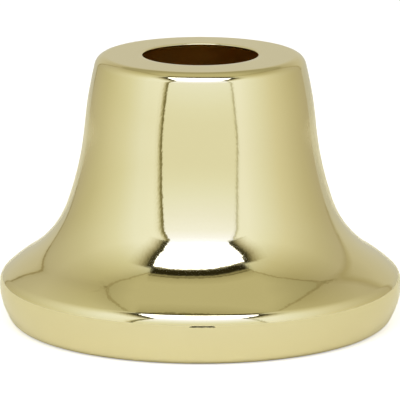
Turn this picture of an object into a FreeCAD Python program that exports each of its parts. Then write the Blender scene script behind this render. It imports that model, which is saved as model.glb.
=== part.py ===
import FreeCAD, Part

import math
import os

from FreeCAD import Vector

# Lamp neck: a bell with a rounded flange, formed from one disc of thin brass sheet.
# Millimetres. Z is the axis of the bell, and Z = 0 is the plane that its foot rests on.
# Radii and heights are those of the sheet's outer face.
# A lean is the angle in degrees between the sheet and the axis: 90 is a flat top, 0 an
# upright wall, below 0 a wall that draws in on its way down, and -90 a flat foot.
# A bend is the radius of an arc of the outline, as the section shows it.

# Sheet, and the size over all
SHEET = 0.45
HEIGHT = 37.4
FLANGE_RADIUS = 27.7

# Flat top: its hole, and the shoulder that turns it down into the neck
HOLE_RADIUS = 7.95
NECK_RADIUS = 14.5
SHOULDER_BEND = 1.7
SHOULDER_LEAN = 13.8

# Neck: it swells a little down to its steepest place, and opens from there in a hollow of
# two arcs, a slow one and a quick one. The share is how much of the flange's slope line,
# up to the corner where it meets the neck's line, lies along the quick arc.
SWELL_BEND = 56.0
STEEPEST_LEAN = 5.3
QUICK_SHARE = 0.6

# Flange: its slope, then the slow bend of the crown, which leads to the tight bend of the rim
FLANGE_LEAN = 57.8
CROWN_BEND = 20.0
CROWN_LEAN = 47.4
RIM_BEND = 2.12
RIM_LEAN = 3.0

# Wall under the rim: it bends past the widest place, runs straight, and turns under at a knuckle
WALL_BEND = 7.95
WALL_LEAN = -25.2
WALL_FLAT = 0.88
KNUCKLE_BEND = 2.2
FOOT_WIDTH = 1.0

# Rounding of the sheet's cut edges, at the hole and at the foot
EDGE_ROUND = 0.12

FLAT_TOP = 90.0
UPRIGHT = 0.0
FLAT_FOOT = -90.0
AXIS = Vector(0, 0, 1)
FULL_TURN = 360
SECTION_NORMAL = Vector(0, 1, 0)


def normal(lean):
    """Unit vector out of the outer face, where the sheet has this lean."""
    angle = math.radians(lean)
    return Vector(math.cos(angle), 0, math.sin(angle))


def tangent(lean):
    """Unit vector along the sheet, on its way from the hole to the foot."""
    return SECTION_NORMAL.cross(normal(lean))


def swing(lean, end_lean):
    """How far an arc of unit bend carries the outline, from one lean to the next."""
    return normal(end_lean) - normal(lean)


def hollow_arcs(gap):
    """Slow bend, joint lean and quick bend of the hollow that spans this gap.

    The slow arc starts along the neck's line and the quick arc ends along the flange's
    slope line. Each arc's two tangents are as long as each other, so the middle line,
    which both arcs touch where they join, is as long as the slow and quick tangent together.
    """
    neck_line = tangent(STEEPEST_LEAN)
    slope_line = tangent(FLANGE_LEAN)
    slope = neck_line.cross(gap).y / neck_line.cross(slope_line).y
    quick = slope * QUICK_SHARE
    rest = gap - slope_line * quick
    slow = (rest.dot(rest) - quick ** 2) / (rest.dot(neck_line) + quick) / 2
    middle_line = rest - neck_line * slow
    joint_lean = math.degrees(math.atan2(middle_line.x, -middle_line.z))
    slow_bend = slow / math.tan(math.radians(STEEPEST_LEAN - joint_lean) / 2)
    quick_bend = quick / math.tan(math.radians(joint_lean - FLANGE_LEAN) / 2)
    return slow_bend, joint_lean, quick_bend


def outline_arcs():
    """The outer outline's arcs from hole to foot: start point, bend, lean and end lean."""
    draw_in = swing(UPRIGHT, WALL_LEAN) * WALL_BEND + tangent(WALL_LEAN) * WALL_FLAT
    turn_under = swing(WALL_LEAN, FLAT_FOOT) * KNUCKLE_BEND
    widest = Vector(FLANGE_RADIUS, 0, -draw_in.z - turn_under.z)
    wall = widest - swing(RIM_LEAN, UPRIGHT) * WALL_BEND
    rim = wall - swing(CROWN_LEAN, RIM_LEAN) * RIM_BEND
    crown = rim - swing(FLANGE_LEAN, CROWN_LEAN) * CROWN_BEND

    shoulder_run = swing(FLAT_TOP, SHOULDER_LEAN) * SHOULDER_BEND
    shoulder = Vector(NECK_RADIUS - shoulder_run.x, 0, HEIGHT)
    swell = shoulder + shoulder_run
    slow = swell + swing(SHOULDER_LEAN, STEEPEST_LEAN) * SWELL_BEND
    slow_bend, joint_lean, quick_bend = hollow_arcs(crown - slow)
    quick = slow + swing(STEEPEST_LEAN, joint_lean) * slow_bend

    return [
        (shoulder, SHOULDER_BEND, FLAT_TOP, SHOULDER_LEAN),
        (swell, SWELL_BEND, SHOULDER_LEAN, STEEPEST_LEAN),
        (slow, slow_bend, STEEPEST_LEAN, joint_lean),
        (quick, quick_bend, joint_lean, FLANGE_LEAN),
        (crown, CROWN_BEND, FLANGE_LEAN, CROWN_LEAN),
        (rim, RIM_BEND, CROWN_LEAN, RIM_LEAN),
        (wall, WALL_BEND, RIM_LEAN, WALL_LEAN),
        (widest + draw_in, KNUCKLE_BEND, WALL_LEAN, FLAT_FOOT),
    ]


def arc(start, bend, lean, end_lean):
    """Arc of the outline. A hollow arc has a bend below zero."""
    centre = start - normal(lean) * bend
    middle = centre + normal((lean + end_lean) / 2) * bend
    end = centre + normal(end_lean) * bend
    return Part.Arc(start, middle, end).toShape()


def line(start, end):
    return Part.LineSegment(start, end).toShape()


def start_of(edge):
    return edge.firstVertex().Point


def end_of(edge):
    return edge.lastVertex().Point


def outline(depth):
    """Edges of one face of the sheet, this deep under the outer face, from hole to foot.

    Its arcs keep the outer arcs' centres, so the wall is as thick everywhere.
    """
    arcs = [arc(start - normal(lean) * depth, bend - depth, lean, end_lean)
            for start, bend, lean, end_lean in outline_arcs()]
    *bell, wall, knuckle = arcs
    top = line(Vector(HOLE_RADIUS, 0, HEIGHT - depth), start_of(bell[0]))
    wall_flat = line(end_of(wall), start_of(knuckle))
    foot = line(end_of(knuckle), end_of(knuckle) - Vector(FOOT_WIDTH, 0, 0))
    return [top, *bell, wall, wall_flat, knuckle, foot]


def section():
    """Half section of the sheet, closed by its two cut edges."""
    outer = outline(0)
    inner = outline(SHEET)
    hole_cut = line(start_of(outer[0]), start_of(inner[0]))
    foot_cut = line(end_of(outer[-1]), end_of(inner[-1]))
    return Part.Face(Part.Wire([*outer, foot_cut, *reversed(inner), hole_cut]))


def cut_circles(shell):
    """The round edges where the sheet was cut: its only cylinders are the cuts themselves."""
    return [edge for face in shell.Faces if isinstance(face.Surface, Part.Cylinder)
            for edge in face.Edges if isinstance(edge.Curve, Part.Circle)]


def neck_shell():
    shell = section().revolve(Vector(), AXIS, FULL_TURN)
    return shell.makeFillet(EDGE_ROUND, cut_circles(shell))


os.makedirs("parts", exist_ok=True)
neck_shell().exportStep("parts/neck_shell.step")
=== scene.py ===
import math

import bpy
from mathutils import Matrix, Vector


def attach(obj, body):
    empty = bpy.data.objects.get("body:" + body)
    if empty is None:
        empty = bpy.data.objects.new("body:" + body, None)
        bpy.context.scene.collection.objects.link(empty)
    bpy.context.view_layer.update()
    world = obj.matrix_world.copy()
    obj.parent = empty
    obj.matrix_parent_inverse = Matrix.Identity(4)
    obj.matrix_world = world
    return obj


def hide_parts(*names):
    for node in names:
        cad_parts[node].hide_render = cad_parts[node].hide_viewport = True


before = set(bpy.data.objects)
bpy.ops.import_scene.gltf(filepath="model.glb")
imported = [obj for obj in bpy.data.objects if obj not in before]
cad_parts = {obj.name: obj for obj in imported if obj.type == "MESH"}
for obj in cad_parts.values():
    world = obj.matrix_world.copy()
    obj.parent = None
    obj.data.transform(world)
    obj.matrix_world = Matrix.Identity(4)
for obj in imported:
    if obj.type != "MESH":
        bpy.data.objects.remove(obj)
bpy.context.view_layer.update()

# Lamp neck: a bell of thin polished brass with a rounded flange, open at its foot.
# Metres. Z is the axis of the bell, and Z = 0 is the floor that its foot rests on.
# A lean is the angle in degrees between the sheet and the axis: 90 is a flat top, 0 an
# upright wall, and -90 a flat foot. A bend is the radius of an arc of the outline.
MM = 0.001

# Sheet, hole and flat top
SHEET = 0.45 * MM
HEIGHT = 37.4 * MM
FLANGE_RADIUS = 27.7 * MM
HOLE_RADIUS = 7.95 * MM
NECK_RADIUS = 14.5 * MM
SHOULDER_BEND = 1.7 * MM
SHOULDER_LEAN = 13.8

# Neck: its swell, and the slow and quick hollow that open it into the flange
SWELL_BEND = 56.0 * MM
STEEPEST_LEAN = 5.3
QUICK_SHARE = 0.6

# Flange: its slope, the slow bend of the crown and the tight bend of the rim
FLANGE_LEAN = 57.8
CROWN_BEND = 20.0 * MM
CROWN_LEAN = 47.4
RIM_BEND = 2.12 * MM
RIM_LEAN = 3.0

# Wall under the rim, knuckle and foot
WALL_BEND = 7.95 * MM
WALL_LEAN = -25.2
WALL_FLAT = 0.88 * MM
KNUCKLE_BEND = 2.2 * MM
FOOT_WIDTH = 1.0 * MM

FLAT_TOP = 90.0
UPRIGHT = 0.0
FLAT_FOOT = -90.0

# Rounding of the sheet's cut edges, and how near a point has to be to count as on one
EDGE_ROUND = 0.12 * MM
EDGE_STEPS = 4
CUT_REACH = 0.06 * MM

# Fineness of the turned surface
STEPS_AROUND = 256
LEAN_STEP = 2.5
LONGEST_STEP = 1.2 * MM
SHORTEST_STRAIGHT = 0.1 * MM

# Brass: tones, and the span of its roughness
BRASS = (0.835, 0.765, 0.475)
BRASS_DEEP = (0.825, 0.752, 0.462)
BRASS_ROUGHNESS = (0.04, 0.062)
# Inside of the bell: more orange than the outside, and darker in clouds
INNER_BRASS = (0.86, 0.56, 0.14)
INNER_DARKER = (0.72, 0.44, 0.09)
INNER_ROUGHNESS = (0.32, 0.48)

# Patterns in the brass: how many clouds, rings or ripples go to a metre, and how deep they are
TONE_CLOUDS = 60
GLOSS_CLOUDS = 160
INNER_CLOUDS = 110
SPUN_RINGS = 700
RING_DEPTH = 0.0009 * MM
RIPPLES = 2200
RIPPLE_DEPTH = 0.0011 * MM
DRAWN_RINGS = 1500
DRAWN_DEPTH = 0.004 * MM

# The part of the noise that the patterns use, and how finely it is broken up
CLOUD_LOW = 0.3
CLOUD_HIGH = 0.7
CLOUD_DETAIL = 3
RIPPLE_DETAIL = 1

# Camera: its pitch, what it looks at, and its long lens
CAMERA_PITCH = math.radians(12.4)
CAMERA_DISTANCE = 687.5 * MM
LOOK_HEIGHT = 16.885 * MM
LENS = 447.75
SIDE_SHIFT = -0.001

# Floor: a disc that starts to fade at one radius and is gone at its edge
FLOOR_RADIUS = 340 * MM
FLOOR_FADE = 70 * MM
FLOOR_SIDES = 96
FLOOR_PAPER = (0.97, 0.945, 0.79)
FLOOR_ROUGHNESS = 0.6
FLOOR_LIFT = (0.5, 0.51, 0.56)

# Dark slot on the floor, in front of the object
SLOT_PLACE = -65.5 * MM
SLOT_SIDE = 1.0 * MM
SLOT_WIDTH = 11.5 * MM
SLOT_DEPTH = 15 * MM
SLOT_LIFT = 0.1 * MM
SLOT_DARK = (0.04, 0.04, 0.03)

# Light tent: a dome of cloth round the object and the camera. A place on it is an azimuth and
# an elevation in degrees, as the object sees it: azimuth 0 is the camera's side, and 90 is +X.
TENT_RADIUS = 1.5
TENT_SEGMENTS = 288
TENT_RINGS = 144
FRONT, LEFT, RIGHT, BACK, CEILING = range(5)
ALL_ROUND = (-180, 180)
ALL_HEIGHTS = (-90, 90)

# Edges of the bright window, and where its seams run out past its corners
WINDOW_TOP = [(-56, 61.5), (-50, 63.8), (-40, 66.4), (-33, 67.8), (-16, 69.3), (0, 69.5),
              (16, 68.4), (30, 65.2), (40, 61.2), (48, 57.5)]
WINDOW_LEFT = [(-56, 61.5), (-47, 54.5), (-36, 46.5), (-31, 40), (-29, 36)]
WINDOW_RIGHT = [(48, 57.5), (43, 51.5), (33, 45), (27, 40), (25, 36)]
PAST_LEFT = [(-59, 60.2)]
PAST_RIGHT = [(50.5, 56)]
ABOVE_LEFT = [(-61, 64.5)]
ABOVE_RIGHT = [(52, 60.5)]

# Edges of the ceiling: over the window it lies behind the window's frame
CEILING_LEFT = [(-180, 30), (-149, 40), (-138, 51.5), (-132, 58.2), (-124, 60.2),
                (-115, 61.8), (-104, 64.2), (-90, 65.7), (-76, 66.6), (-66, 66.5), (-56, 65.5)]
CEILING_RIGHT = [(48, 62), (70, 65), (90, 64.2), (103, 62.4), (118, 57.6), (127, 54),
                 (135, 49), (142, 40), (180, 30)]
WINDOW_FRAME = 2
OVER_WINDOW = [(az, el + WINDOW_FRAME) for az, el in WINDOW_TOP[1:-1]]
CEILING_EDGE = CEILING_LEFT + OVER_WINDOW + CEILING_RIGHT

# Seams where the side cloths meet the front and the back
FRONT_LEFT = [(-29, 36), (-32.2, 28), (-36.5, 12), (-38.7, -3)]
FRONT_RIGHT = [(29.5, 36), (31, 32), (32.5, 25), (34.5, 12), (37, -3)]
INTO_WINDOW_LEFT = [(-30.4, 39)]
BACK_LEFT = [(-149, 38), (-149.5, 15), (-148.5, -5)]
BACK_RIGHT = [(142, 45), (141.5, 20), (139.5, 0)]

# Light of each cloth: colours at elevations, or at azimuths for what changes round the dome
CLEAR = (1, 1, 1)
EVEN = [(0, CLEAR)]
FRONT_UP = [
    (-10, (0.87, 0.87, 0.78)), (6, (0.875, 0.88, 0.795)), (10, (0.90, 0.915, 0.85)),
    (15, (0.944, 0.978, 0.987)), (21, (1.006, 1.041, 1.167)), (27, (1.09, 1.14, 1.4)),
    (33, (1.16, 1.22, 1.65)), (38, (1.26, 1.36, 2.0)), (43, (2.4, 2.5, 3.2)),
    (50, (3.2, 3.3, 4.0))]
LEFT_AROUND = [
    (-160, (0.48, 0.44, 0.32)), (-146, (0.524, 0.48, 0.354)), (-130, (0.601, 0.562, 0.42)),
    (-115, (0.663, 0.633, 0.483)), (-100, (0.748, 0.724, 0.583)),
    (-80, (0.841, 0.837, 0.726)), (-60, (0.944, 0.967, 0.981)), (-42, (0.98, 1.0, 1.02))]
LEFT_UP = [
    (-8, CLEAR), (5, (0.975, 0.975, 0.925)), (20, (1.028, 1.042, 1.055)),
    (35, (1.052, 1.066, 1.094)), (54, (0.897, 0.889, 0.79)), (60, (0.82, 0.8, 0.7)),
    (66, (0.7, 0.68, 0.56))]
RIGHT_AROUND = [
    (42, (0.97, 0.98, 1.02)), (60, (0.871, 0.87, 0.811)), (80, (0.771, 0.734, 0.596)),
    (100, (0.659, 0.616, 0.469)), (115, (0.587, 0.54, 0.393)), (128, (0.541, 0.493, 0.361)),
    (138, (0.517, 0.465, 0.345))]
RIGHT_UP = [
    (-8, CLEAR), (5, (1.011, 1.02, 1.002)), (20, (1.046, 1.069, 1.101)),
    (35, (1.061, 1.086, 1.102)), (54, (0.867, 0.861, 0.759)), (66, (0.8, 0.79, 0.68))]
BACK_UP = [
    (-3, (0.6, 0.58, 0.5)), (9, (0.64, 0.61, 0.5)), (21, (0.63, 0.59, 0.455)),
    (33, (0.55, 0.505, 0.36)), (45, (0.46, 0.42, 0.28))]
CEILING_UP = [
    (30, (0.41, 0.38, 0.25)), (50, (0.43, 0.4, 0.26)), (60, (0.5, 0.465, 0.305)),
    (68, (0.584, 0.548, 0.366))]

# Seams: what they let through, at places across the strip in degrees of the dome
WINDOW_TOP_ACROSS = [
    (-1.0, CLEAR), (-0.4, CLEAR), (0.3, (0.1, 0.09, 0.06)), (1.5, (0.05, 0.045, 0.025)),
    (7.6, (0.04, 0.035, 0.02)), (9.2, (0.55, 0.53, 0.47)), (9.8, (0.55, 0.53, 0.47)),
    (10.3, (0.32, 0.3, 0.22)), (10.8, (0.32, 0.3, 0.22)), (11.5, (0.76, 0.75, 0.7)),
    (14, (0.86, 0.85, 0.81)), (20, CLEAR)]
WINDOW_SIDE_ACROSS = [
    (-1.0, CLEAR), (-0.4, CLEAR), (0.3, (0.05, 0.045, 0.025)), (3, (0.08, 0.07, 0.04)),
    (4.6, (0.3, 0.27, 0.18)), (6.5, (0.52, 0.48, 0.38)), (9, (0.76, 0.73, 0.65)),
    (12, (0.92, 0.91, 0.87)), (15.5, CLEAR)]
FRONT_LEFT_ACROSS = [
    (-1.3, CLEAR), (-0.7, (0.9, 0.88, 0.8)), (-0.4, (0.24, 0.21, 0.1)),
    (1.2, (0.24, 0.21, 0.1)), (2.1, (0.52, 0.48, 0.34)), (3.3, (0.75, 0.72, 0.6)),
    (4.6, (0.93, 0.92, 0.88)), (8, CLEAR)]
FRONT_RIGHT_ACROSS = [
    (-3, CLEAR), (-1.2, (0.92, 0.91, 0.87)), (-0.5, (0.64, 0.62, 0.52)),
    (0.5, (0.64, 0.62, 0.52)), (1.5, (0.94, 0.94, 0.91)), (3, CLEAR)]
BACK_LEFT_ACROSS = [
    (-3, CLEAR), (-0.8, (0.93, 0.92, 0.88)), (-0.3, (0.6, 0.55, 0.4)),
    (0.3, (0.6, 0.55, 0.4)), (0.8, (0.93, 0.92, 0.88)), (3, CLEAR)]
BACK_RIGHT_ACROSS = [
    (-4, CLEAR), (-0.5, (0.86, 0.84, 0.75)), (0.5, (0.86, 0.84, 0.75)), (4, CLEAR)]
CEILING_ACROSS = [
    (-6, CLEAR), (-0.7, (0.96, 0.96, 0.94)), (-0.25, (0.74, 0.71, 0.6)),
    (0.25, (0.74, 0.71, 0.6)), (0.7, (0.96, 0.96, 0.94)), (6, CLEAR)]

# Seams: how far out each hangs, as a share of the tent's radius, so no two share a place,
# the length of their pieces in degrees, and the share of their length that fades at an end
WINDOW_TOP_OUT = 0.98
WINDOW_SIDE_OUT = 0.975
SIDE_SEAM_OUT = 0.97
CEILING_SEAM_OUT = 0.965
SEAM_STEP = 2
WINDOW_TOP_FADE = 0.05
WINDOW_SIDE_FADE = 0.1
SEAM_FADE = 0.04


def clear_selection():
    """Nothing stays selected, so the next operator acts on its own piece."""
    if bpy.context.object and bpy.context.object.mode != "OBJECT":
        bpy.ops.object.mode_set(mode="OBJECT")
    bpy.ops.object.select_all(action="DESELECT")


def normal(lean):
    """Unit vector out of the outer face, in the plane of the section."""
    angle = math.radians(lean)
    return Vector((math.cos(angle), math.sin(angle)))


def tangent(lean):
    """Unit vector along the sheet, on its way from the hole to the foot."""
    angle = math.radians(lean)
    return Vector((math.sin(angle), -math.cos(angle)))


def swing(lean, end_lean):
    """How far an arc of unit bend carries the outline, from one lean to the next."""
    return normal(end_lean) - normal(lean)


def cross(a, b):
    """Area between two vectors of the section."""
    return a.x * b.y - a.y * b.x


def hollow_arcs(gap):
    """Slow bend, joint lean and quick bend of the hollow that spans this gap."""
    neck_line = tangent(STEEPEST_LEAN)
    slope_line = tangent(FLANGE_LEAN)
    quick = cross(neck_line, gap) / cross(neck_line, slope_line) * QUICK_SHARE
    rest = gap - slope_line * quick
    slow = (rest.dot(rest) - quick ** 2) / (rest.dot(neck_line) + quick) / 2
    middle_line = rest - neck_line * slow
    joint_lean = math.degrees(math.atan2(middle_line.x, -middle_line.y))
    slow_bend = slow / math.tan(math.radians(STEEPEST_LEAN - joint_lean) / 2)
    quick_bend = quick / math.tan(math.radians(joint_lean - FLANGE_LEAN) / 2)
    return slow_bend, joint_lean, quick_bend


def outline_arcs():
    """The outer outline's arcs from hole to foot: start point, bend, lean and end lean."""
    draw_in = swing(UPRIGHT, WALL_LEAN) * WALL_BEND + tangent(WALL_LEAN) * WALL_FLAT
    turn_under = swing(WALL_LEAN, FLAT_FOOT) * KNUCKLE_BEND
    widest = Vector((FLANGE_RADIUS, -draw_in.y - turn_under.y))
    wall = widest - swing(RIM_LEAN, UPRIGHT) * WALL_BEND
    rim = wall - swing(CROWN_LEAN, RIM_LEAN) * RIM_BEND
    crown = rim - swing(FLANGE_LEAN, CROWN_LEAN) * CROWN_BEND

    shoulder_run = swing(FLAT_TOP, SHOULDER_LEAN) * SHOULDER_BEND
    shoulder = Vector((NECK_RADIUS - shoulder_run.x, HEIGHT))
    swell = shoulder + shoulder_run
    slow = swell + swing(SHOULDER_LEAN, STEEPEST_LEAN) * SWELL_BEND
    slow_bend, joint_lean, quick_bend = hollow_arcs(crown - slow)
    quick = slow + swing(STEEPEST_LEAN, joint_lean) * slow_bend
    return [
        (shoulder, SHOULDER_BEND, FLAT_TOP, SHOULDER_LEAN),
        (swell, SWELL_BEND, SHOULDER_LEAN, STEEPEST_LEAN),
        (slow, slow_bend, STEEPEST_LEAN, joint_lean),
        (quick, quick_bend, joint_lean, FLANGE_LEAN),
        (crown, CROWN_BEND, FLANGE_LEAN, CROWN_LEAN),
        (rim, RIM_BEND, CROWN_LEAN, RIM_LEAN),
        (wall, WALL_BEND, RIM_LEAN, WALL_LEAN),
        (widest + draw_in, KNUCKLE_BEND, WALL_LEAN, FLAT_FOOT),
    ]


def straight_points(start, end):
    """Points along a straight of the outline, without its start. None where it has no length."""
    run = end - start
    if run.length < SHORTEST_STRAIGHT:
        return []
    steps = math.ceil(run.length / LONGEST_STEP)
    return [start + run * (i + 1) / steps for i in range(steps)]


def arc_points(start, bend, lean, end_lean):
    """Points along an arc of the outline, without its start."""
    turn = end_lean - lean
    length = abs(math.radians(turn) * bend)
    steps = max(math.ceil(abs(turn) / LEAN_STEP), math.ceil(length / LONGEST_STEP))
    return [start + swing(lean, lean + turn * (i + 1) / steps) * bend for i in range(steps)]


def outline_points():
    """Points of the outer outline from hole to foot."""
    points = [Vector((HOLE_RADIUS, HEIGHT))]
    for start, bend, lean, end_lean in outline_arcs():
        points += straight_points(points[-1], start)
        points += arc_points(start, bend, lean, end_lean)
    points.append(points[-1] - Vector((FOOT_WIDTH, 0)))
    return points


def turned_face(points):
    """The outer face: a ring at the hole, drawn out and down along the outline."""
    first = points[0]
    bpy.ops.mesh.primitive_circle_add(vertices=STEPS_AROUND, radius=first.x,
                                      fill_type="NOTHING", location=(0, 0, first.y))
    face = bpy.context.object
    bpy.ops.object.transform_apply(location=True, rotation=True, scale=True)
    bpy.ops.object.mode_set(mode="EDIT")
    bpy.ops.mesh.select_all(action="SELECT")
    for last, point in zip(points, points[1:]):
        bpy.ops.mesh.extrude_region_move(
            TRANSFORM_OT_translate={"value": (0, 0, point.y - last.y)})
        grow = point.x / last.x
        bpy.ops.transform.resize(value=(grow, grow, 1), center_override=(0, 0, point.y))
    bpy.ops.mesh.select_all(action="SELECT")
    bpy.ops.mesh.normals_make_consistent(inside=False)
    bpy.ops.object.mode_set(mode="OBJECT")
    if face.data.polygons[0].normal.z < 0:
        face.data.flip_normals()
    return face


def give_wall(neck):
    """The sheet's wall, inwards and even, with the inner finish on its inner face."""
    wall = neck.modifiers.new("wall", "SOLIDIFY")
    wall.thickness = SHEET
    wall.offset = -1
    wall.use_even_offset = True
    wall.use_quality_normals = True
    wall.material_offset = 1
    wall.material_offset_rim = 0
    bpy.ops.object.modifier_apply(modifier=wall.name)


def select_edges(obj, wanted):
    """Edge select in edit mode, by the places of an edge's two ends."""
    bpy.ops.object.mode_set(mode="EDIT")
    bpy.ops.mesh.select_mode(type="EDGE")
    bpy.ops.mesh.select_all(action="DESELECT")
    bpy.ops.object.mode_set(mode="OBJECT")
    points = obj.data.vertices
    for edge in obj.data.edges:
        edge.select = wanted(*(points[i].co for i in edge.vertices))
    bpy.ops.object.mode_set(mode="EDIT")


def round_cut_edges(neck, foot_radius):
    """The rings of edges where the sheet was cut, at the hole and at the foot, are rounded."""
    def on_cut(place):
        radius = math.hypot(place.x, place.y)
        at_hole = abs(radius - HOLE_RADIUS) < CUT_REACH and place.z > HEIGHT - SHEET - CUT_REACH
        at_foot = abs(radius - foot_radius) < CUT_REACH and place.z < SHEET + CUT_REACH
        return at_hole or at_foot

    def cut_ring(a, b):
        return on_cut(a) and on_cut(b) and abs(a.z - b.z) < CUT_REACH

    select_edges(neck, cut_ring)
    bpy.ops.mesh.bevel(offset=EDGE_ROUND, segments=EDGE_STEPS, profile=0.5)
    bpy.ops.object.mode_set(mode="OBJECT")


def brass_neck():
    """The bell in one sheet: outer face, even wall and rounded cut edges."""
    clear_selection()
    points = outline_points()
    neck = turned_face(points)
    neck.name = neck.data.name = "brass_neck"
    neck.data.materials.append(polished_brass())
    neck.data.materials.append(inner_brass())
    give_wall(neck)
    round_cut_edges(neck, points[-1].x)
    bpy.ops.object.shade_smooth()

    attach(neck, "root")
    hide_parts("neck_shell")


def new_material(name):
    """A node material, and its nodes, links and surface shader."""
    material = bpy.data.materials.new(name)
    material.use_nodes = True
    tree = material.node_tree
    return material, tree.nodes, tree.links, tree.nodes["Principled BSDF"]


def math_node(nodes, operation, value=None):
    """A sum on one or two numbers. The value is its second number."""
    node = nodes.new("ShaderNodeMath")
    node.operation = operation
    if value is not None:
        node.inputs[1].default_value = value
    return node


def noise_between(nodes, links, place, scale, low, high, detail=CLOUD_DETAIL):
    """Cloudy value between two numbers, its clouds this many to the metre."""
    clouds = nodes.new("ShaderNodeTexNoise")
    clouds.inputs["Scale"].default_value = scale
    clouds.inputs["Detail"].default_value = detail
    span = nodes.new("ShaderNodeMapRange")
    span.inputs["From Min"].default_value = CLOUD_LOW
    span.inputs["From Max"].default_value = CLOUD_HIGH
    span.inputs["To Min"].default_value = low
    span.inputs["To Max"].default_value = high
    links.new(place, clouds.inputs["Vector"])
    links.new(clouds.outputs["Fac"], span.inputs["Value"])
    return span.outputs["Result"]


def two_tones(nodes, links, share, first, second):
    """Colour that goes from the first tone to the second with this share."""
    tones = nodes.new("ShaderNodeMix")
    tones.data_type = "RGBA"
    tones.inputs["A"].default_value = (*first, 1)
    tones.inputs["B"].default_value = (*second, 1)
    links.new(share, tones.inputs["Factor"])
    return tones.outputs["Result"]


def relief(nodes, links, height, depth, under=None):
    """Fine relief of this depth in metres, as a surface direction, on what is under it."""
    bump = nodes.new("ShaderNodeBump")
    bump.inputs["Strength"].default_value = 1
    bump.inputs["Distance"].default_value = depth
    links.new(height, bump.inputs["Height"])
    if under:
        links.new(under, bump.inputs["Normal"])
    return bump.outputs["Normal"]


def round_the_axis(nodes, links, place):
    """The place as radius and height, so a pattern on it runs round the bell in rings."""
    split = nodes.new("ShaderNodeSeparateXYZ")
    flat = nodes.new("ShaderNodeCombineXYZ")
    radius = nodes.new("ShaderNodeVectorMath")
    radius.operation = "LENGTH"
    rings = nodes.new("ShaderNodeCombineXYZ")
    links.new(place, split.inputs["Vector"])
    links.new(split.outputs["X"], flat.inputs["X"])
    links.new(split.outputs["Y"], flat.inputs["Y"])
    links.new(flat.outputs["Vector"], radius.inputs[0])
    links.new(radius.outputs["Value"], rings.inputs["X"])
    links.new(split.outputs["Z"], rings.inputs["Z"])
    return rings.outputs["Vector"]


def polished_brass():
    """Polished brass: faint clouds in tone and gloss, a fine ripple, and a trace of spinning."""
    material, nodes, links, metal = new_material("polished_brass")
    place = nodes.new("ShaderNodeTexCoord").outputs["Object"]
    tone = noise_between(nodes, links, place, TONE_CLOUDS, 0, 1)
    colour = two_tones(nodes, links, tone, BRASS, BRASS_DEEP)
    gloss = noise_between(nodes, links, place, GLOSS_CLOUDS, *BRASS_ROUGHNESS)
    rings = round_the_axis(nodes, links, place)
    height = noise_between(nodes, links, rings, SPUN_RINGS, 0, 1)
    ripple = noise_between(nodes, links, place, RIPPLES, 0, 1, RIPPLE_DETAIL)
    ringed = relief(nodes, links, height, RING_DEPTH)
    links.new(colour, metal.inputs["Base Color"])
    links.new(gloss, metal.inputs["Roughness"])
    links.new(relief(nodes, links, ripple, RIPPLE_DEPTH, ringed), metal.inputs["Normal"])
    metal.inputs["Metallic"].default_value = 1
    return material


def inner_brass():
    """The inside of the bell: the same sheet, left dull, more orange than the outside, with
    darker clouds.
    """
    material, nodes, links, metal = new_material("inner_brass")
    place = nodes.new("ShaderNodeTexCoord").outputs["Object"]
    darker_share = noise_between(nodes, links, place, INNER_CLOUDS, 0, 1)
    colour = two_tones(nodes, links, darker_share, INNER_BRASS, INNER_DARKER)
    dull = noise_between(nodes, links, place, GLOSS_CLOUDS, *INNER_ROUGHNESS)
    rings = round_the_axis(nodes, links, place)
    height = noise_between(nodes, links, rings, DRAWN_RINGS, 0, 1)
    links.new(colour, metal.inputs["Base Color"])
    links.new(dull, metal.inputs["Roughness"])
    links.new(relief(nodes, links, height, DRAWN_DEPTH), metal.inputs["Normal"])
    metal.inputs["Metallic"].default_value = 1
    return material


def eased(nodes, links, value, start, end, ease):
    """Goes from 0 at the start to 1 at the end, with this ease, and stays there."""
    rise = nodes.new("ShaderNodeMapRange")
    rise.interpolation_type = ease
    rise.inputs["From Min"].default_value = start
    rise.inputs["From Max"].default_value = end
    links.new(value, rise.inputs["Value"])
    return rise.outputs["Result"]


def ramp_of(nodes, links, share, stops, low, high):
    """Colour over a span of degrees: each stop is a number of degrees and a colour."""
    ramp = nodes.new("ShaderNodeValToRGB")
    elements = ramp.color_ramp.elements
    while len(elements) < len(stops):
        elements.new(0.5)
    for element, (angle, colour) in zip(elements, stops):
        element.position = (angle - low) / (high - low)
        element.color = (*colour, 1)
    links.new(share, ramp.inputs["Fac"])
    return ramp.outputs["Color"]


def angles_on_dome(nodes, links):
    """Azimuth and elevation of a place on the dome, in radians."""
    split = nodes.new("ShaderNodeSeparateXYZ")
    links.new(nodes.new("ShaderNodeTexCoord").outputs["Object"], split.inputs["Vector"])
    towards = math_node(nodes, "MULTIPLY", -1)
    azimuth = math_node(nodes, "ARCTAN2")
    links.new(split.outputs["Y"], towards.inputs[0])
    links.new(split.outputs["X"], azimuth.inputs[0])
    links.new(towards.outputs["Value"], azimuth.inputs[1])
    height = math_node(nodes, "DIVIDE", TENT_RADIUS)
    elevation = math_node(nodes, "ARCSINE")
    links.new(split.outputs["Z"], height.inputs[0])
    links.new(height.outputs["Value"], elevation.inputs[0])
    return azimuth.outputs["Value"], elevation.outputs["Value"]


def colour_over(nodes, links, angle, stops, span):
    """Colour over an angle in radians, by stops in degrees within this span of degrees."""
    low, high = span
    share = eased(nodes, links, angle, math.radians(low), math.radians(high), "LINEAR")
    return ramp_of(nodes, links, share, stops, low, high)


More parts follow.
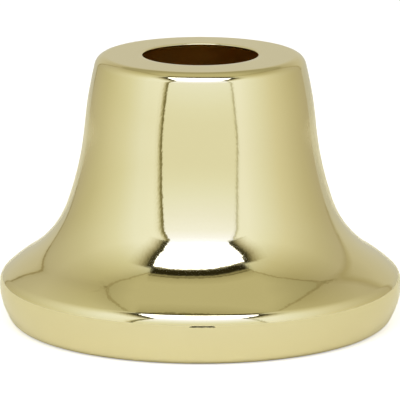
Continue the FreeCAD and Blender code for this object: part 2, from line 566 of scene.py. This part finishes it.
def cloth_light(name, around, up):
    """Lit cloth of the tent: its light changes round the dome, and again with the height."""
    material, nodes, links, shader = new_material(name)
    nodes.remove(shader)
    azimuth, elevation = angles_on_dome(nodes, links)
    both = nodes.new("ShaderNodeMix")
    both.data_type = "RGBA"
    both.blend_type = "MULTIPLY"
    both.inputs["Factor"].default_value = 1
    links.new(colour_over(nodes, links, azimuth, around, ALL_ROUND), both.inputs["A"])
    links.new(colour_over(nodes, links, elevation, up, ALL_HEIGHTS), both.inputs["B"])
    glow = nodes.new("ShaderNodeEmission")
    links.new(both.outputs["Result"], glow.inputs["Color"])
    links.new(glow.outputs["Emission"], nodes["Material Output"].inputs["Surface"])
    return material


def plain_light(name, colour):
    """Light of one colour."""
    material, nodes, links, shader = new_material(name)
    nodes.remove(shader)
    glow = nodes.new("ShaderNodeEmission")
    glow.inputs["Color"].default_value = (*colour, 1)
    links.new(glow.outputs["Emission"], nodes["Material Output"].inputs["Surface"])
    return material


def gauze(name, across, fade):
    """Thin dark cloth that dims what is behind it, by stops in degrees across the strip."""
    material, nodes, links, shader = new_material(name)
    nodes.remove(shader)
    split = nodes.new("ShaderNodeSeparateXYZ")
    links.new(nodes.new("ShaderNodeTexCoord").outputs["UV"], split.inputs["Vector"])
    shade = ramp_of(nodes, links, split.outputs["Y"], across, across[0][0], across[-1][0])
    nearer_end = math_node(nodes, "PINGPONG", 0.5)
    links.new(split.outputs["X"], nearer_end.inputs[0])
    full = eased(nodes, links, nearer_end.outputs["Value"], 0, fade, "SMOOTHSTEP")
    thin = nodes.new("ShaderNodeMix")
    thin.data_type = "RGBA"
    thin.inputs["A"].default_value = (*CLEAR, 1)
    links.new(full, thin.inputs["Factor"])
    links.new(shade, thin.inputs["B"])
    through = nodes.new("ShaderNodeBsdfTransparent")
    links.new(thin.outputs["Result"], through.inputs["Color"])
    links.new(through.outputs["BSDF"], nodes["Material Output"].inputs["Surface"])
    return material


def direction(azimuth, elevation):
    """Unit vector towards a place in the tent."""
    az = math.radians(azimuth)
    el = math.radians(elevation)
    return Vector((math.sin(az) * math.cos(el), -math.cos(az) * math.cos(el), math.sin(el)))


def on_path(path, azimuth):
    """Elevation of a path over this azimuth, or nothing outside its reach."""
    for (az0, el0), (az1, el1) in zip(path, path[1:]):
        if az0 <= azimuth <= az1:
            return el0 + (el1 - el0) * (azimuth - az0) / (az1 - az0)
    return None


def at_height(path, elevation):
    """Azimuth of a path at this elevation, or of its nearer end."""
    path = sorted(path, key=lambda place: place[1])
    for (az0, el0), (az1, el1) in zip(path, path[1:]):
        if el0 <= elevation <= el1:
            return az0 + (az1 - az0) * (elevation - el0) / (el1 - el0)
    return path[0][0] if elevation < path[0][1] else path[-1][0]


def finely(path, step):
    """The same path in shorter pieces."""
    fine = [path[0]]
    for (az0, el0), (az1, el1) in zip(path, path[1:]):
        count = max(1, round(max(abs(az1 - az0), abs(el1 - el0)) / step))
        fine += [(az0 + (az1 - az0) * (i + 1) / count, el0 + (el1 - el0) * (i + 1) / count)
                 for i in range(count)]
    return fine


def cloth_at(azimuth, elevation):
    """Which cloth of the tent is at this place."""
    if elevation > on_path(CEILING_EDGE, azimuth):
        return CEILING
    left = at_height(FRONT_LEFT + WINDOW_LEFT, elevation)
    right = at_height(FRONT_RIGHT + WINDOW_RIGHT, elevation)
    if left < azimuth < right:
        return FRONT
    if azimuth < at_height(BACK_LEFT, elevation) or azimuth > at_height(BACK_RIGHT, elevation):
        return BACK
    return LEFT if azimuth < 0 else RIGHT


def out_of_shot(obj):
    """Lights and shows in the metal, but the camera looks through it."""
    obj.visible_camera = False


def light_tent():
    """Dome of cloth: front with the bright window, two sides, back and ceiling."""
    clear_selection()
    bpy.ops.mesh.primitive_uv_sphere_add(segments=TENT_SEGMENTS, ring_count=TENT_RINGS,
                                         radius=TENT_RADIUS)
    tent = bpy.context.object
    tent.name = "light_tent"
    cloths = {
        FRONT: cloth_light("front_cloth", EVEN, FRONT_UP),
        LEFT: cloth_light("left_cloth", LEFT_AROUND, LEFT_UP),
        RIGHT: cloth_light("right_cloth", RIGHT_AROUND, RIGHT_UP),
        BACK: cloth_light("back_cloth", EVEN, BACK_UP),
        CEILING: cloth_light("ceiling_cloth", EVEN, CEILING_UP),
    }
    for place in sorted(cloths):
        tent.data.materials.append(cloths[place])
    for face in tent.data.polygons:
        centre = face.center.normalized()
        elevation = math.degrees(math.asin(centre.z))
        azimuth = math.degrees(math.atan2(centre.x, -centre.y))
        face.material_index = cloth_at(azimuth, elevation)
    out_of_shot(tent)


def seam(name, path, across, out, fade=SEAM_FADE):
    """Strip of gauze along a path on the dome. Across grows to the left, seen from inside."""
    places = [direction(*place) for place in finely(path, SEAM_STEP)]
    last = len(places) - 1
    clear_selection()
    bpy.ops.mesh.primitive_grid_add(x_subdivisions=last, y_subdivisions=1, size=1)
    strip = bpy.context.object
    strip.name = name
    low = math.radians(across[0][0])
    high = math.radians(across[-1][0])
    for point in strip.data.vertices:
        here = round((point.co.x + 0.5) * last)
        before = places[max(here - 1, 0)]
        after = places[min(here + 1, last)]
        sideways = places[here].cross(after - before).normalized()
        side = high if point.co.y > 0 else low
        point.co = (places[here] + sideways * math.tan(side)).normalized() * TENT_RADIUS * out
    strip.data.materials.append(gauze(name, across, fade))
    out_of_shot(strip)


def tent_seams():
    """Dark edges of the window, and the fainter seams between the cloths."""
    seam("window_top", PAST_LEFT + WINDOW_TOP + PAST_RIGHT, WINDOW_TOP_ACROSS,
         WINDOW_TOP_OUT, WINDOW_TOP_FADE)
    seam("window_left", WINDOW_LEFT[::-1] + ABOVE_LEFT, WINDOW_SIDE_ACROSS,
         WINDOW_SIDE_OUT, WINDOW_SIDE_FADE)
    seam("window_right", ABOVE_RIGHT + WINDOW_RIGHT, WINDOW_SIDE_ACROSS,
         WINDOW_SIDE_OUT, WINDOW_SIDE_FADE)
    seam("front_left", FRONT_LEFT[::-1] + INTO_WINDOW_LEFT, FRONT_LEFT_ACROSS, SIDE_SEAM_OUT)
    seam("front_right", FRONT_RIGHT, FRONT_RIGHT_ACROSS, SIDE_SEAM_OUT)
    seam("back_left", BACK_LEFT, BACK_LEFT_ACROSS, SIDE_SEAM_OUT)
    seam("back_right", BACK_RIGHT, BACK_RIGHT_ACROSS, SIDE_SEAM_OUT)
    seam("ceiling_left", CEILING_LEFT[1:], CEILING_ACROSS, CEILING_SEAM_OUT)
    seam("ceiling_right", CEILING_RIGHT[:-1], CEILING_ACROSS, CEILING_SEAM_OUT)


def dark_slot():
    """Small dark strip on the floor in front of the object, which its rim mirrors."""
    clear_selection()
    bpy.ops.mesh.primitive_plane_add(size=1, location=(SLOT_SIDE, SLOT_PLACE, SLOT_LIFT))
    slot = bpy.context.object
    slot.name = "dark_slot"
    slot.scale = (SLOT_WIDTH, SLOT_DEPTH, 1)
    slot.data.materials.append(plain_light("slot_dark", SLOT_DARK))
    slot.visible_diffuse = False
    out_of_shot(slot)


def lifted_paper(nodes, links, paper, from_camera):
    """Paper with some light of its own for the camera alone, so that it shows white."""
    paper.inputs["Base Color"].default_value = (*FLOOR_PAPER, 1)
    paper.inputs["Roughness"].default_value = FLOOR_ROUGHNESS
    lift = nodes.new("ShaderNodeEmission")
    lift.inputs["Color"].default_value = (*FLOOR_LIFT, 1)
    both = nodes.new("ShaderNodeAddShader")
    links.new(from_camera, lift.inputs["Strength"])
    links.new(paper.outputs["BSDF"], both.inputs[0])
    links.new(lift.outputs["Emission"], both.inputs[1])
    return both.outputs["Shader"]


def floor_gone(nodes, links, from_camera):
    """Share of the floor that is gone: past its fade, and to a camera that is under it."""
    away = nodes.new("ShaderNodeVectorMath")
    away.operation = "LENGTH"
    links.new(nodes.new("ShaderNodeTexCoord").outputs["Object"], away.inputs[0])
    faded = eased(nodes, links, away.outputs["Value"], FLOOR_FADE, FLOOR_RADIUS, "SMOOTHERSTEP")
    from_under = math_node(nodes, "MULTIPLY")
    links.new(nodes.new("ShaderNodeNewGeometry").outputs["Backfacing"], from_under.inputs[0])
    links.new(from_camera, from_under.inputs[1])
    gone = math_node(nodes, "MAXIMUM")
    links.new(faded, gone.inputs[0])
    links.new(from_under.outputs["Value"], gone.inputs[1])
    return gone.outputs["Value"]


def pale_floor():
    """The floor's material: pale paper that is see-through where the floor is gone."""
    material, nodes, links, paper = new_material("pale_floor")
    from_camera = nodes.new("ShaderNodeLightPath").outputs["Is Camera Ray"]
    through = nodes.new("ShaderNodeBsdfTransparent")
    both = nodes.new("ShaderNodeMixShader")
    links.new(floor_gone(nodes, links, from_camera), both.inputs["Fac"])
    links.new(lifted_paper(nodes, links, paper, from_camera), both.inputs[1])
    links.new(through.outputs["BSDF"], both.inputs[2])
    links.new(both.outputs["Shader"], nodes["Material Output"].inputs["Surface"])
    return material


def floor():
    """Pale round floor that keeps the object's shadow. The tent takes over at its edge."""
    clear_selection()
    bpy.ops.mesh.primitive_circle_add(vertices=FLOOR_SIDES, radius=FLOOR_RADIUS, fill_type="NGON")
    ground = bpy.context.object
    ground.name = "floor"
    ground.data.materials.append(pale_floor())


def white_world():
    """White all round, for the camera and for what mirrors it."""
    world = bpy.data.worlds.new("white_world")
    bpy.context.scene.world = world
    world.use_nodes = True
    back = world.node_tree.nodes["Background"]
    back.inputs["Color"].default_value = (1, 1, 1, 1)
    back.inputs["Strength"].default_value = 1


def camera():
    """The photograph's camera: a long lens a little above the object."""
    clear_selection()
    aim = Vector((0, 0, LOOK_HEIGHT))
    back = Vector((0, -math.cos(CAMERA_PITCH), math.sin(CAMERA_PITCH)))
    turn = (-back).to_track_quat("-Z", "Y").to_euler()
    bpy.ops.object.camera_add(location=aim + back * CAMERA_DISTANCE, rotation=turn)
    cam = bpy.context.object
    cam.data.lens = LENS
    cam.data.shift_x = SIDE_SHIFT
    bpy.context.scene.camera = cam


bpy.context.scene.view_settings.view_transform = "Standard"
camera()
white_world()
floor()
light_tent()
tent_seams()
dark_slot()
brass_neck()
